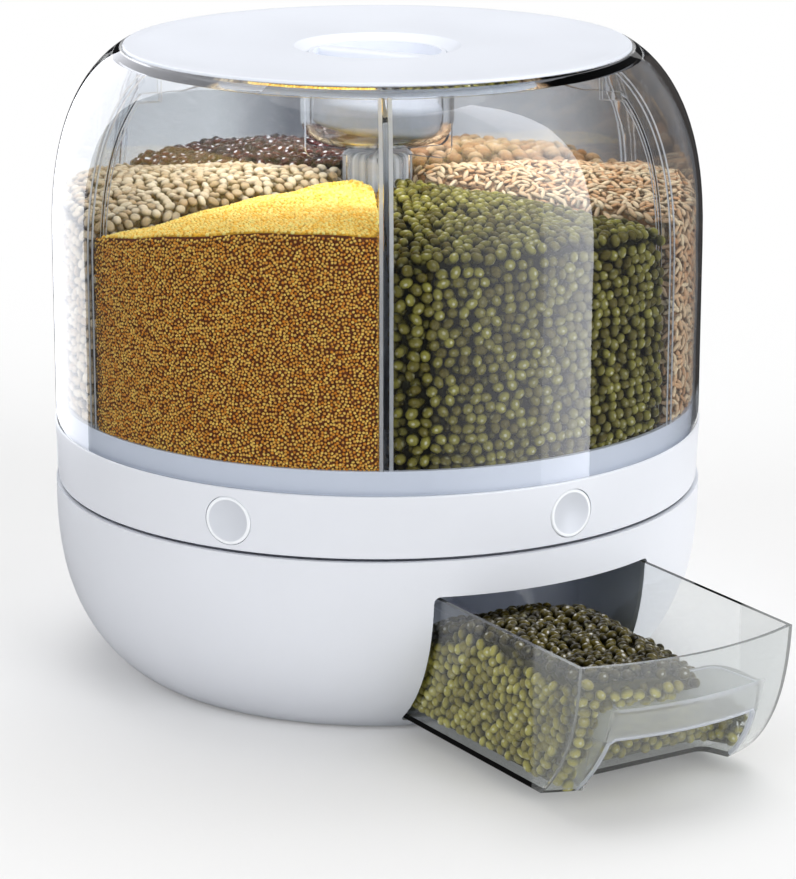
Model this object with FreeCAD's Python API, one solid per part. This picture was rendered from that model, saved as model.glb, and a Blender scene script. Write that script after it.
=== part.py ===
import FreeCAD, Part
import math
import os

V = FreeCAD.Vector

# Rotating grain dispenser: a white base with a clear drawer, and on it a clear drum of six
# compartments that turns about a spindle, with a push button and a slide gate under each.
# Millimetres. +Z is up, the table is z = 0, and Z is the axis that the drum turns about.
# The drawer slides out towards -Y, and angles are counted from -Y towards +X.

# Overall form
body_radius = 160.0
bowl_top = 93.0
bowl_foot_z = 1.5
bowl_foot_share = 0.756
bowl_depth_power = 2.73
bowl_round_power = 1.33
bowl_wall = 2.6
running_gap = 1.3
close_gap = 0.3
touch_gap = 0.2
overcut = 5.0
compartments = 6
step_angle = 360.0 / compartments

# Drawer, pulled out as it stands in the rest pose
drawer_out = 113.0
drawer_half_width = 58.0
drawer_floor_z = 8.0
drawer_rim_z = 74.5
drawer_back_y = 20.0
drawer_wall = 2.2
drawer_side_gap = 2.0
drawer_rim_gap = 1.3

# Finger pocket in the drawer's front, under the bar
pocket_roof_z = 50.0
pocket_bar_z = 37.5
pocket_back_low = 111.0
pocket_back_high = 123.5
pocket_back_half = 35.0
pocket_mouth_low_half = 44.0
pocket_mouth_high_half = 37.5
pocket_flare_y = 133.0
pocket_round = 7.0

# Base plate, feet and screws
plate_thickness = 2.5
plate_lip = 9.0
plate_lip_height = 3.0
runner_half_spacing = 48.0
runner_width = 4.0
runner_end_gap = 2.0
foot_screw_gap = 5.6
foot_width = 11.0
foot_recess = 0.7
foot_round = 1.0
base_post_inset = 20.3
base_post_angles = (34.0, 146.0, 214.0, 326.0)
base_post_radius = 5.0
base_screw_radius = 1.6
base_screw_length = 16.0
base_screw_head_radius = 3.4
base_screw_head = 2.0
driver_slot = 1.0

# Drawer bay and the chute into the drawer
bay_wall = 2.2
mouth_round = 3.0
bay_back_gap = 4.0
chute_lead = 2.0
chute_tail = 6.0
chute_half_width = 20.0
chute_taper = 3.0
chute_wall = 1.6
chute_top_gap = 2.7
chute_flange = 3.0
chute_flange_height = 1.5

# Turntable deck, spindle and glide ring
deck_thickness = 3.0
deck_drop = 2.5
spindle_radius = 8.0
spindle_drop = 3.5
spindle_boss_radius = 14.0
spindle_boss_height = 2.5
bearing_clearance = 0.05
hub_wall = 4.0
washer_radius = 12.5
washer_thickness = 1.6
hub_screw_radius = 2.2
hub_screw_head_radius = 5.0
hub_screw_head = 3.2
hub_screw_length = 18.0
pilot_spare = 2.0
screw_clearance = 0.05
glide_inset = 15.6
glide_width = 6.0
glide_groove = 1.0
rib_inset = 12.0
rib_thickness = 2.0
rib_depth = 5.0

# Button ring
ring_height = 29.9
ring_draft = 1.4
ring_wall = 3.0
ring_flange_margin = 3.0
ring_flange_height = 2.2
ring_lip = 1.8
ring_lip_height = 3.0
ring_edge_round = 0.8

# Buttons and gates
button_offset_angle = 2.9
button_rise = 14.1
button_radius = 11.5
button_depth = 14.0
button_wall = 1.8
button_dish = 1.6
button_bevel = 1.4
button_travel = 9.0
sleeve_wall = 1.8
sleeve_length = 12.6
stem_width = 12.0
stem_height = 6.4
stem_reach = 16.6
gate_half_width = 17.0
gate_thickness = 2.3
gate_lead = 6.0
gate_tail = 8.0
gate_tab_half = 4.0
gate_tab_hold = 10.0
gate_rail = 2.0
gate_rail_lip = 1.6

# Bin floor: collar at the wall, trough with the outlets, and the rise to the hub
floor_thickness = 2.8
collar_gap = 0.8
collar_wall = 2.4
collar_rise = 11.3
shelf_rise = 2.8
shelf_fall = 1.6
trough_depth = 10.2
trough_lead = 8.0
trough_tail = 6.0
trough_bank = 11.0
hub_shoulder_radius = 24.0
hub_rise = 5.8
hub_pocket_radius = 14.5
outlet_inset = 51.6
outlet_length = 12.0
outlet_half_width = 14.0
outlet_cover = 1.0
ring_post_radius = 5.0
ring_post_inset = 9.6
ring_post_height = 17.7
ring_screw_radius = 1.55
ring_screw_length = 15.0
ring_screw_head_radius = 3.3
ring_screw_head = 2.4
ring_screw_grip = 8.0

# Clear barrel with its shoulder, seat for the lid and neck
barrel_step = 0.6
barrel_wall = 2.8
wall_height = 86.8
dome_rise = 95.8
shoulder_width = 70.0
shoulder_crown = 8.2
shoulder_power = 2.49
rim_width = 1.2
seat_depth = 2.6
neck_width = 7.0
neck_wall = 2.5
neck_depth = 5.2

# Dividers and centre column
divider_thickness = 2.3
fork_wall = 2.0
fork_depth = 6.5
fork_slot = 5.0
fork_overlap = 4.0
divider_drop = 8.4
divider_gap = 0.4
column_radius = 17.5
column_wall = 2.5
column_gap = 5.0
column_round = 4.0
cup_clearance = 3.0
step_round = 6.0
top_round = 5.0

# Lid, gasket, knob and desiccant cup
lid_thickness = 2.4
lid_edge_round = 1.0
lid_rim_width = 6.5
lid_dish = 1.8
lid_dish_radius = 62.0
gasket_thickness = 1.2
gasket_inset = 0.6
gasket_lead = 2.0
skirt_gap = 0.7
skirt_wall = 2.2
skirt_depth = 6.0
recess_width = 7.0
knob_clearance = 2.1
knob_sink = 2.9
knob_height = 9.8
knob_wall = 2.5
knob_floor = 2.5
knob_bar_width = 11.0
knob_bar_angle = -63.5
knob_bar_round = 3.0
cup_radius = 38.0
cup_wall = 2.2
cup_depth = 43.0
cup_round = 12.0
cup_sink = 2.6
socket_wall = 2.4
socket_depth = 5.0
pack_clearance = 4.3
pack_height = 16.6
pack_round = 4.0
pack_tilt = 7.0
pack_tilt_axis = (0.522, 0.853)
pack_rest = 12.0


# Profiles and other helpers
def bowl_radius(z):
    depth = (bowl_top - z) / bowl_top
    fall = (1.0 - min(max(depth, 0.0), 1.0) ** bowl_depth_power) ** (1.0 / bowl_round_power)
    return body_radius * (bowl_foot_share + (1.0 - bowl_foot_share) * fall)


def barrel_outer(z):
    rise = max(z - shoulder_start, 0.0) / shoulder_height
    reach = (1.0 - rise ** shoulder_power) ** (1.0 / shoulder_power)
    return barrel_radius - shoulder_width + shoulder_width * reach


def inset_point(profile, z, depth):
    small = 0.05
    slope = (profile(z + small) - profile(z - small)) / (2.0 * small)
    length = math.hypot(1.0, slope)
    return profile(z) - depth / length, z + depth * slope / length


def inset_radius(profile, z, depth):
    low = z - 2.0 * depth
    high = z + 2.0 * depth
    for _ in range(40):
        middle = 0.5 * (low + high)
        if inset_point(profile, middle, depth)[1] < z:
            low = middle
        else:
            high = middle
    return inset_point(profile, 0.5 * (low + high), depth)[0]


def barrel_inner(z, depth=barrel_wall):
    return inset_radius(barrel_outer, z, depth)


def heights(low, high, count, power=1.0):
    return [low + (high - low) * (i / (count - 1)) ** power for i in range(count)]


def polyline(points):
    corners = [V(r, 0, z) for r, z in points]
    return [Part.LineSegment(a, b).toShape() for a, b in zip(corners, corners[1:])]


def curve(points):
    line = Part.BSplineCurve()
    line.interpolate([V(r, 0, z) for r, z in points])
    return [line.toShape()]


def spin(edges, angle=360.0):
    face = Part.Face(Part.Wire(Part.__sortEdges__(edges)))
    return sound(face.revolve(V(0, 0, 0), V(0, 0, 1), angle))


def sound(shape):
    if shape.Volume < 0:
        shape.reverse()
    return shape


def ring(inner, outer, low, high):
    return spin(polyline([(inner, low), (outer, low), (outer, high), (inner, high), (inner, low)]))


def block(x_low, x_high, y_low, y_high, z_low, z_high):
    return Part.makeBox(x_high - x_low, y_high - y_low, z_high - z_low, V(x_low, y_low, z_low))


def rod(radius, x, y, low, high):
    return Part.makeCylinder(radius, high - low, V(x, y, low))


def radial_rod(radius, start, end, z):
    return Part.makeCylinder(radius, end - start, V(0, -start, z), V(0, -1, 0))


def turned(shape, angle):
    copy = shape.copy()
    copy.rotate(V(0, 0, 0), V(0, 0, 1), angle)
    return copy


def all_round(shape, offset=0.0):
    return [turned(shape, offset + step_angle * i) for i in range(compartments)]


def fused(shapes):
    return shapes[0].multiFuse(shapes[1:]).removeSplitter()


def soft_prism(half_width, low, high, near, far, radius):
    prism = block(-half_width, half_width, -far, -near, low, high)
    along = [e for e in prism.Edges if abs(e.BoundBox.YLength - (far - near)) < 0.01]
    return prism.makeFillet(radius, along)


def bowl_solid(depth, low, high):
    if depth == 0:
        side = [(bowl_radius(z), z) for z in heights(low, high, 8, 1.6)]
    else:
        side = [(inset_radius(bowl_radius, z, depth), z) for z in heights(low, high, 8, 1.6)]
    edges = curve(side) + polyline([side[-1], (0, high), (0, low), side[0]])
    return spin(edges)


# Heights and radii of the base, worked out from the sizes
plate_low = bowl_foot_z + plate_lip_height
plate_top = plate_low + plate_thickness
plate_radius = inset_radius(bowl_radius, plate_low, bowl_wall) - close_gap
base_post_ring = plate_radius - base_post_inset
foot_outer = base_post_ring - base_screw_head_radius - foot_screw_gap
foot_inner = foot_outer - foot_width
bay_half_width = drawer_half_width + drawer_side_gap
bay_top = drawer_rim_z + drawer_rim_gap
bay_floor = drawer_floor_z - drawer_rim_gap
bay_back_y = drawer_back_y + bay_back_gap
deck_top = bowl_top - deck_drop
deck_low = deck_top - deck_thickness
deck_radius = body_radius - bowl_wall - touch_gap

# Button ring, buttons, gates and bin floor
ring_foot = bowl_top + running_gap
ring_top = ring_foot + ring_height
ring_foot_radius = body_radius - ring_draft
ring_inner = ring_foot_radius - ring_wall
lip_inner = body_radius - ring_lip
lip_seat = ring_top - ring_lip_height
glide_outer = ring_inner - glide_inset
glide_inner = glide_outer - glide_width
ring_flange_inner = glide_inner - ring_flange_margin
ring_post_ring = ring_inner - ring_post_inset
ring_post_top = ring_foot + ring_post_height
ring_screw_seat = ring_post_top - ring_screw_grip
button_z = ring_foot + button_rise
sleeve_inner_end = ring_inner - sleeve_length
stem_end = ring_inner - stem_reach
gate_tab_end = stem_end + gate_tab_hold
outlet_inner = ring_inner - outlet_inset
outlet_outer = outlet_inner + outlet_length
trough_inner = outlet_inner - trough_lead
trough_outer = outlet_outer + trough_tail
shelf_inner = trough_outer + trough_bank
gate_inner_end = outlet_inner - gate_lead
gate_neck = trough_outer + gate_tail
collar_top = ring_top + collar_rise
shelf_top = ring_top + shelf_rise
shelf_edge_top = shelf_top - shelf_fall
shelf_underside = shelf_edge_top - floor_thickness
trough_z = ring_top - trough_depth
trough_underside = trough_z - floor_thickness
gate_top = trough_underside - close_gap
gate_low = gate_top - gate_thickness
rail_low = gate_low - close_gap - gate_rail_lip
hub_shoulder_z = ring_top + hub_rise
spindle_top = hub_shoulder_z - spindle_drop
hub_foot = deck_top + spindle_boss_height + close_gap
hub_top = spindle_top - close_gap
hub_bore = spindle_radius + bearing_clearance
hub_outer = hub_bore + hub_wall
chute_near = outlet_inner - chute_lead
chute_far = outlet_outer + chute_tail
chute_top_z = rail_low - chute_top_gap

# Barrel, lid, knob, cup and dividers
barrel_radius = body_radius - barrel_step
barrel_inside = barrel_radius - barrel_wall
shoulder_start = ring_top + wall_height
shoulder_height = dome_rise + shoulder_crown
barrel_rim_z = shoulder_start + dome_rise
lid_radius = barrel_outer(barrel_rim_z) - rim_width - close_gap
neck_inner = lid_radius - neck_width
seat_z = barrel_rim_z - seat_depth
seat_under = seat_z - barrel_wall
neck_foot_z = seat_z - neck_depth
collar_outer = barrel_inside - collar_gap
collar_inner = collar_outer - collar_wall
spigot_outer = lip_inner - touch_gap
gasket_inner = neck_inner + gasket_lead
gasket_outer = lid_radius - gasket_inset
skirt_outer = neck_inner - skirt_gap
lid_low = seat_z + touch_gap + gasket_thickness
lid_top = lid_low + lid_thickness
lid_flat_edge = lid_radius - lid_rim_width
dish_top = lid_top - lid_dish
skirt_foot_z = lid_low - skirt_depth
knob_radius = cup_radius - cup_wall - knob_clearance
recess_radius = knob_radius + recess_width
pack_radius = cup_radius - cup_wall - pack_clearance
knob_top = dish_top - knob_sink
knob_low = knob_top - knob_height
hole_radius = knob_radius + close_gap
cup_top_z = lid_low - cup_sink
socket_foot_z = cup_top_z - socket_depth
cup_foot_z = cup_top_z - cup_depth
column_top = cup_foot_z - column_gap
divider_top = seat_under - divider_drop


# Base bowl: a deep moulded shell, open above, with a lip below for the plate
def make_base_bowl():
    outer = [(bowl_radius(z), z) for z in heights(bowl_foot_z, bowl_top, 8, 1.6)]
    inner = [(inset_radius(bowl_radius, z, bowl_wall), z) for z in heights(plate_low, bowl_top, 8, 1.6)]
    lip = inner[0][0] - plate_lip
    edges = curve(outer) + polyline([outer[-1], inner[-1]]) + curve(inner)
    edges += polyline([inner[0], (lip, plate_low), (lip, bowl_foot_z), outer[0]])
    shell = spin(edges)
    mouth = soft_prism(bay_half_width, bay_floor, bay_top, bay_half_width, body_radius + overcut, mouth_round)
    return shell.cut(mouth)


def base_post_places():
    turns = [math.radians(angle) for angle in base_post_angles]
    return [(base_post_ring * math.cos(turn), base_post_ring * math.sin(turn)) for turn in turns]


# Base plate: closes the bowl, carries the drawer's two runners, and takes the foot ring and screws
def make_base_plate():
    plate = rod(plate_radius, 0, 0, plate_low, plate_top)
    runner_top = drawer_floor_z - close_gap
    reach = math.sqrt(plate_radius ** 2 - (runner_half_spacing + runner_width) ** 2) - runner_end_gap
    for side in (-1, 1):
        middle = side * runner_half_spacing
        half = 0.5 * runner_width
        plate = plate.fuse(block(middle - half, middle + half, -reach, drawer_back_y, plate_top, runner_top))
    for x, y in base_post_places():
        plate = plate.cut(rod(base_screw_radius + close_gap, x, y, plate_low - 1, plate_top + 1))
    groove = ring(foot_inner - touch_gap, foot_outer + touch_gap, plate_low - 1, plate_low + foot_recess)
    return plate.cut(groove).removeSplitter()


# Foot ring: one rubber ring in a groove of the plate, the only part that meets the table
def make_foot_ring():
    foot = ring(foot_inner, foot_outer, 0.0, plate_low + foot_recess)
    rims = [e for e in foot.Edges if e.BoundBox.ZMax < 0.01]
    return foot.makeFillet(foot_round, rims)


def make_base_screws():
    screws = []
    for x, y in base_post_places():
        head = rod(base_screw_head_radius, x, y, plate_low - base_screw_head, plate_low)
        shank = rod(base_screw_radius, x, y, plate_low, plate_low + base_screw_length)
        slot = block(x - 0.5 * driver_slot, x + 0.5 * driver_slot, y - base_screw_head_radius,
                     y + base_screw_head_radius, plate_low - base_screw_head, plate_low - 0.5 * base_screw_head)
        screws.append(head.fuse(shank).cut(slot))
    return Part.makeCompound(screws)


# Drawer bay: the tunnel that the drawer runs in, with the chute's hole in its ceiling
def make_drawer_bay():
    ceiling = bay_top + bay_wall
    outer = block(-bay_half_width - bay_wall, bay_half_width + bay_wall, -body_radius,
                  bay_back_y + bay_wall, plate_top, ceiling)
    inner = block(-bay_half_width, bay_half_width, -body_radius, bay_back_y, plate_top - 1, bay_top)
    tunnel = outer.cut(inner).common(bowl_solid(bowl_wall + touch_gap, plate_top, ceiling))
    return tunnel.cut(chute_hole(bay_top - 1, ceiling + 1))


def chute_hole(low, high):
    margin = chute_wall + close_gap
    return block(-chute_half_width - margin, chute_half_width + margin,
                 -chute_far - margin, -chute_near + margin, low, high)


# Turntable deck: the fixed floor under the drum, with posts, spindle and glide groove
def make_turntable_deck():
    deck = rod(deck_radius, 0, 0, deck_low, deck_top)
    deck = deck.cut(ring(glide_inner, glide_outer, deck_top - glide_groove, deck_top + 1))
    boss = rod(spindle_boss_radius, 0, 0, deck_top, deck_top + spindle_boss_height)
    spindle = rod(spindle_radius, 0, 0, deck_top, spindle_top)
    posts = [rod(base_post_radius, x, y, plate_top, deck_low) for x, y in base_post_places()]
    rib = ring(deck_radius - rib_inset, deck_radius - rib_inset + rib_thickness, deck_low - rib_depth, deck_low)
    bay_side = bay_half_width + bay_wall + 2.0 * close_gap
    bay_clear = block(-bay_side, bay_side, -body_radius, 0, deck_low - rib_depth - 1, deck_low)
    deck = fused([deck, boss, spindle, rib.cut(bay_clear)] + posts)
    pilot = hub_screw_radius + screw_clearance
    deck = deck.cut(rod(pilot, 0, 0, spindle_top - hub_screw_length - pilot_spare, spindle_top + 1))
    for x, y in base_post_places():
        top = plate_low + base_screw_length + pilot_spare
        deck = deck.cut(rod(base_screw_radius + screw_clearance, x, y, plate_top - 1, top))
    return deck.cut(chute_hole(deck_low - 1, deck_top + 1))


def make_discharge_chute():
    foot_z = bay_top + close_gap
    outer = block(-chute_half_width - chute_wall, chute_half_width + chute_wall,
                  -chute_far - chute_wall, -chute_near + chute_wall, foot_z, chute_top_z)
    rim = chute_wall + chute_flange
    flange = block(-chute_half_width - rim, chute_half_width + rim, -chute_far - rim,
                   -chute_near + rim, deck_top, deck_top + chute_flange_height)
    mouth = rectangle(chute_half_width, chute_near, chute_far, chute_top_z + 0.01)
    throat = rectangle(chute_half_width - chute_taper, chute_near + chute_taper,
                       chute_far - chute_taper, foot_z - 0.01)
    passage = Part.makeLoft([throat, mouth], True, True)
    return outer.fuse(flange).cut(passage).removeSplitter()


def rectangle(half_width, near, far, z):
    corners = [V(-half_width, -near, z), V(half_width, -near, z), V(half_width, -far, z), V(-half_width, -far, z)]
    return Part.makePolygon(corners + corners[:1])


def make_glide_ring():
    track = ring(glide_inner + touch_gap, glide_outer - touch_gap, deck_top - glide_groove, ring_foot - close_gap)
    rims = [e for e in track.Edges if e.BoundBox.ZMin > ring_foot - close_gap - 0.01]
    return track.makeFillet(0.8, rims)


def make_hub_washer():
    return ring(hub_screw_radius + close_gap, washer_radius, spindle_top, spindle_top + washer_thickness)


def make_hub_screw():
    seat = spindle_top + washer_thickness
    head = rod(hub_screw_head_radius, 0, 0, seat, seat + hub_screw_head)
    head = head.makeFillet(1.2, [e for e in head.Edges if e.BoundBox.ZMin > seat + 1])
    shank = rod(hub_screw_radius, 0, 0, spindle_top + 0.5 - hub_screw_length, seat)
    cross = block(-3, 3, -0.6, 0.6, seat + 1.6, seat + 5).fuse(block(-0.6, 0.6, -3, 3, seat + 1.6, seat + 5))
    return head.fuse(shank).cut(cross)


# Button ring: the white band, its flange on the glide ring, six sleeves and six posts
def make_button_ring():
    outline = [(ring_flange_inner, ring_foot), (ring_foot_radius, ring_foot), (body_radius, ring_top),
               (lip_inner, ring_top), (lip_inner, lip_seat), (ring_inner, lip_seat),
               (ring_inner, ring_foot + ring_flange_height),
               (ring_flange_inner, ring_foot + ring_flange_height), (ring_flange_inner, ring_foot)]
    band = spin(polyline(outline))
    outer_edges = [e for e in band.Edges if e.BoundBox.XMax > ring_foot_radius - 0.01 and is_level(e)]
    band = band.makeFillet(ring_edge_round, outer_edges)
    sleeve = radial_rod(button_bore() + sleeve_wall, sleeve_inner_end, ring_inner + 0.5 * ring_wall, button_z)
    sleeve = sleeve.common(block(-body_radius, body_radius, -body_radius, 0, ring_foot + touch_gap, lip_seat))
    bore = radial_rod(button_bore(), sleeve_inner_end - 1, body_radius + 5, button_z)
    posts = [rod(ring_post_radius, 0, -ring_post_ring, ring_foot, ring_post_top)]
    holes = [rod(ring_screw_radius + close_gap, 0, -ring_post_ring, ring_foot - 1, ring_post_top + 1),
             rod(ring_screw_head_radius + close_gap, 0, -ring_post_ring, ring_foot - 1, ring_screw_seat)]
    band = fused([band] + all_round(sleeve, button_offset_angle) + all_round(posts[0], 0.5 * step_angle))
    band = band.cut(Part.makeCompound(all_round(bore, button_offset_angle)))
    for hole in holes:
        band = band.cut(Part.makeCompound(all_round(hole, 0.5 * step_angle)))
    return band


def is_level(edge):
    return edge.BoundBox.ZLength < 0.01


def button_bore():
    return button_radius + close_gap


def band_radius(z):
    return ring_foot_radius + (body_radius - ring_foot_radius) * (z - ring_foot) / (ring_top - ring_foot)


# Bin floor: collar, shelf over the buttons, trough with six outlets, rise and hub
def make_bin_floor():
    slope = floor_thickness * 0.5
    outline = [(collar_outer, collar_top), (collar_inner, collar_top), (collar_inner, shelf_top),
               (shelf_inner, shelf_edge_top), (trough_outer, trough_z), (trough_inner, trough_z),
               (hub_shoulder_radius, hub_shoulder_z), (hub_pocket_radius, hub_shoulder_z),
               (hub_pocket_radius, hub_top), (hub_bore, hub_top), (hub_bore, hub_foot),
               (hub_outer, hub_foot), (hub_outer, hub_top - floor_thickness - 1.0),
               (hub_pocket_radius + floor_thickness, hub_top - floor_thickness - 1.0),
               (hub_shoulder_radius, hub_shoulder_z - floor_thickness),
               (trough_inner, trough_underside), (trough_outer + slope, trough_underside),
               (shelf_inner + slope, shelf_underside), (collar_outer, shelf_underside),
               (collar_outer, collar_top)]
    floor = spin(polyline(outline))
    rails = []
    for side in (-1, 1):
        inside = gate_half_width + close_gap
        edges = sorted((side * inside, side * (inside + gate_rail)))
        rails.append(block(edges[0], edges[1], -trough_outer, -gate_inner_end, rail_low, trough_underside))
        lip = sorted((side * (inside - gate_rail_lip), side * (inside + gate_rail)))
        rails.append(block(lip[0], lip[1], -trough_outer, -gate_inner_end, rail_low, gate_low - close_gap))
    rail_pair = Part.makeCompound(rails)
    boss = rod(ring_post_radius - 0.5, 0, -ring_post_ring, ring_post_top, shelf_underside)
    pieces = [floor]
    for rail in rails:
        pieces += all_round(rail, button_offset_angle)
    floor = fused(pieces + all_round(boss, 0.5 * step_angle))
    outlet = block(-outlet_half_width, outlet_half_width, -outlet_outer, -outlet_inner,
                   trough_underside - 1, trough_z + 1)
    pilot = rod(ring_screw_radius + screw_clearance, 0, -ring_post_ring, ring_post_top - 1,
                ring_screw_seat + ring_screw_length + 1.0)
    floor = floor.cut(Part.makeCompound(all_round(outlet, button_offset_angle)))
    return floor.cut(Part.makeCompound(all_round(pilot, 0.5 * step_angle)))


def make_ring_screws():
    head = rod(ring_screw_head_radius, 0, -ring_post_ring, ring_screw_seat - ring_screw_head, ring_screw_seat)
    shank = rod(ring_screw_radius, 0, -ring_post_ring, ring_screw_seat, ring_screw_seat + ring_screw_length)
    return Part.makeCompound(all_round(head.fuse(shank), 0.5 * step_angle))


# Button: a hollow cap with a dished face, and a slotted stem for the gate's tab
def make_button():
    front = band_radius(button_z)
    start = front - button_depth
    cap = radial_rod(button_radius, start, front, button_z)
    face_edge = [e for e in cap.Edges if e.BoundBox.YMax < -front + 0.01]
    cap = cap.makeChamfer(0.5, face_edge)
    hollow = radial_rod(button_radius - button_wall, start - 1, front - button_dish - 2.0, button_z)
    dish_radius = (((button_radius - button_bevel) ** 2 + button_dish ** 2) / (2.0 * button_dish))
    dish = Part.makeSphere(dish_radius, V(0, -(front + dish_radius - button_dish), button_z))
    cap = cap.cut(hollow).cut(dish)
    stem = block(-0.5 * stem_width, 0.5 * stem_width, -(front - button_dish - 1.0), -stem_end,
                 button_z - 0.5 * stem_height, button_z + 0.5 * stem_height)
    slot = block(-gate_tab_half - 0.1, gate_tab_half + 0.1, -gate_tab_end - 0.1, -stem_end + 1,
                 gate_low - 0.05, gate_top + 0.05)
    return cap.fuse(stem).cut(slot).removeSplitter()


# Gate: the slide plate that covers the outlet until its window is pushed over it
def make_gate():
    plate = block(-gate_half_width, gate_half_width, -gate_neck, -gate_inner_end, gate_low, gate_top)
    tab = block(-gate_tab_half, gate_tab_half, -gate_tab_end, -gate_neck, gate_low, gate_top)
    window_start = outlet_outer + outlet_cover
    window = block(-outlet_half_width, outlet_half_width, -window_start - outlet_length + 1.0,
                   -window_start, gate_low - 1, gate_top + 1)
    return plate.fuse(tab).cut(window).removeSplitter()


# Grain barrel: clear wall, rounded shoulder, seat for the lid and a short neck
def make_grain_barrel():
    rise = heights(shoulder_start, barrel_rim_z, 9)
    outer = [(barrel_outer(z), z) for z in rise]
    inner = [(barrel_inner(z), z) for z in heights(shoulder_start, seat_under, 9)]
    foot = lip_seat + touch_gap
    edges = polyline([(barrel_radius, shoulder_start), (barrel_radius, ring_top + touch_gap),
                      (spigot_outer, ring_top + touch_gap), (spigot_outer, foot), (barrel_inside, foot),
                      (barrel_inside, shoulder_start)])
    edges += curve(inner)
    edges += polyline([inner[-1], (neck_inner + neck_wall, seat_under), (neck_inner + neck_wall, neck_foot_z),
                       (neck_inner, neck_foot_z), (neck_inner, seat_z), (lid_radius + close_gap, seat_z),
                       (lid_radius + close_gap, barrel_rim_z), outer[-1]])
    edges += curve(outer)
    return spin(edges)


# Divider: a flat clear panel whose outer edge forks into two lips along the wall
def make_divider():
    panel = extruded(panel_edges(), divider_thickness)
    half = 0.5 * divider_thickness
    lips = []
    for start in (half, -half - fork_wall):
        lips.append(extruded(fork_edges(), fork_wall, start))
    return fused([panel] + lips)


def extruded(edges, thickness, start=None):
    if start is None:
        start = -0.5 * thickness
    face = Part.Face(Part.Wire(Part.__sortEdges__(edges)))
    face.translate(V(0, start, 0))
    return sound(face.extrude(V(0, thickness, 0)))


def floor_line(r):
    points = [(column_radius, hub_shoulder_z), (hub_shoulder_radius, hub_shoulder_z), (trough_inner, trough_z),
              (trough_outer, trough_z), (shelf_inner, shelf_edge_top), (collar_inner, shelf_top)]
    for (r0, z0), (r1, z1) in zip(points, points[1:]):
        if r0 <= r <= r1:
            return z0 + (z1 - z0) * (r - r0) / (r1 - r0)
    return collar_top


def panel_edges():
    depth = divider_gap + fork_slot
    side = [(barrel_inner(z, barrel_wall + depth), z) for z in heights(shoulder_start, divider_top, 7)]
    side_r = barrel_inside - depth
    cup_clear = cup_radius + cup_clearance
    step_z = column_top - 1.0
    start = column_radius + touch_gap
    lift = touch_gap
    foot = [(r, floor_line(r) + lift) for r in (start, hub_shoulder_radius, trough_inner, trough_outer,
                                                 shelf_inner, side_r)]
    edges = polyline([side[0]] + foot[::-1] + [(start, step_z), (cup_clear - step_round, step_z)])
    edges += corner(cup_clear - step_round, step_z + step_round, step_round, -45.0)
    edges += polyline([(cup_clear, step_z + step_round), (cup_clear, divider_top - top_round)])
    edges += corner(cup_clear + top_round, divider_top - top_round, top_round, 135.0)
    edges += polyline([(cup_clear + top_round, divider_top), side[-1]])
    return edges + curve(side)


def corner(r, z, radius, middle_angle):
    points = []
    for turn in (-45.0, 0.0, 45.0):
        angle = math.radians(middle_angle + turn)
        points.append(V(r + radius * math.cos(angle), 0, z + radius * math.sin(angle)))
    return [Part.Arc(*points).toShape()]


def fork_edges():
    outer_top = seat_under - divider_gap
    outer = [(barrel_inner(z, barrel_wall + divider_gap), z) for z in heights(shoulder_start, outer_top, 8)]
    depth = divider_gap + fork_depth
    inner_top = divider_top - fork_overlap
    inner = [(barrel_inner(z, barrel_wall + depth), z) for z in heights(shoulder_start, inner_top, 7)]
    neck = neck_inner + neck_wall + divider_gap
    foot = collar_top + touch_gap
    edges = curve(outer) + polyline([outer[-1], (neck, outer_top), (neck, inner_top), inner[-1]])
    edges += curve(inner)
    edges += polyline([inner[0], (barrel_inside - depth, foot), (barrel_inside - divider_gap, foot), outer[0]])
    return edges


def make_centre_column():
    tube = rod(column_radius, 0, 0, hub_shoulder_z + touch_gap, column_top)
    top_edge = [e for e in tube.Edges if e.BoundBox.ZMin > column_top - 0.01]
    tube = tube.makeFillet(column_round, top_edge)
    inside = rod(column_radius - column_wall, 0, 0, hub_shoulder_z - 1, column_top - column_wall)
    return tube.cut(inside)


# Lid: dished white disc with a skirt, a bevelled recess and a socket for the cup
def make_lid():
    socket_inner = cup_radius + touch_gap
    socket_outer = socket_inner + socket_wall
    top = [(lid_flat_edge, lid_top), (0.5 * (lid_flat_edge + lid_dish_radius), lid_top - 0.75 * lid_dish),
           (lid_dish_radius, dish_top)]
    edges = curve(top)
    edges += polyline([(lid_dish_radius, dish_top), (recess_radius, dish_top),
                       (hole_radius + 1.5, knob_top), (hole_radius, knob_top - 0.6),
                       (hole_radius, cup_top_z + touch_gap - lid_thickness),
                       (cup_radius - cup_wall - touch_gap, cup_top_z + touch_gap - lid_thickness)])
    inside = dish_top - lid_thickness
    edges += polyline([(cup_radius - cup_wall - touch_gap, cup_top_z + touch_gap - lid_thickness),
                       (cup_radius - cup_wall - touch_gap, cup_top_z + touch_gap),
                       (socket_inner, cup_top_z + touch_gap), (socket_inner, socket_foot_z),
                       (socket_outer, socket_foot_z), (socket_outer, inside), (lid_dish_radius, inside),
                       (skirt_outer - skirt_wall, lid_low), (skirt_outer - skirt_wall, skirt_foot_z),
                       (skirt_outer, skirt_foot_z), (skirt_outer, lid_low), (lid_radius, lid_low),
                       (lid_radius, lid_top), (lid_flat_edge, lid_top)])
    disc = spin(edges)
    rim = [e for e in disc.Edges if e.BoundBox.XMax > lid_radius - 0.01 and e.BoundBox.ZMin > lid_top - 0.01]
    return disc.makeFillet(lid_edge_round, rim)


def make_lid_gasket():
    return ring(gasket_inner, gasket_outer, seat_z + touch_gap, lid_low)


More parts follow.
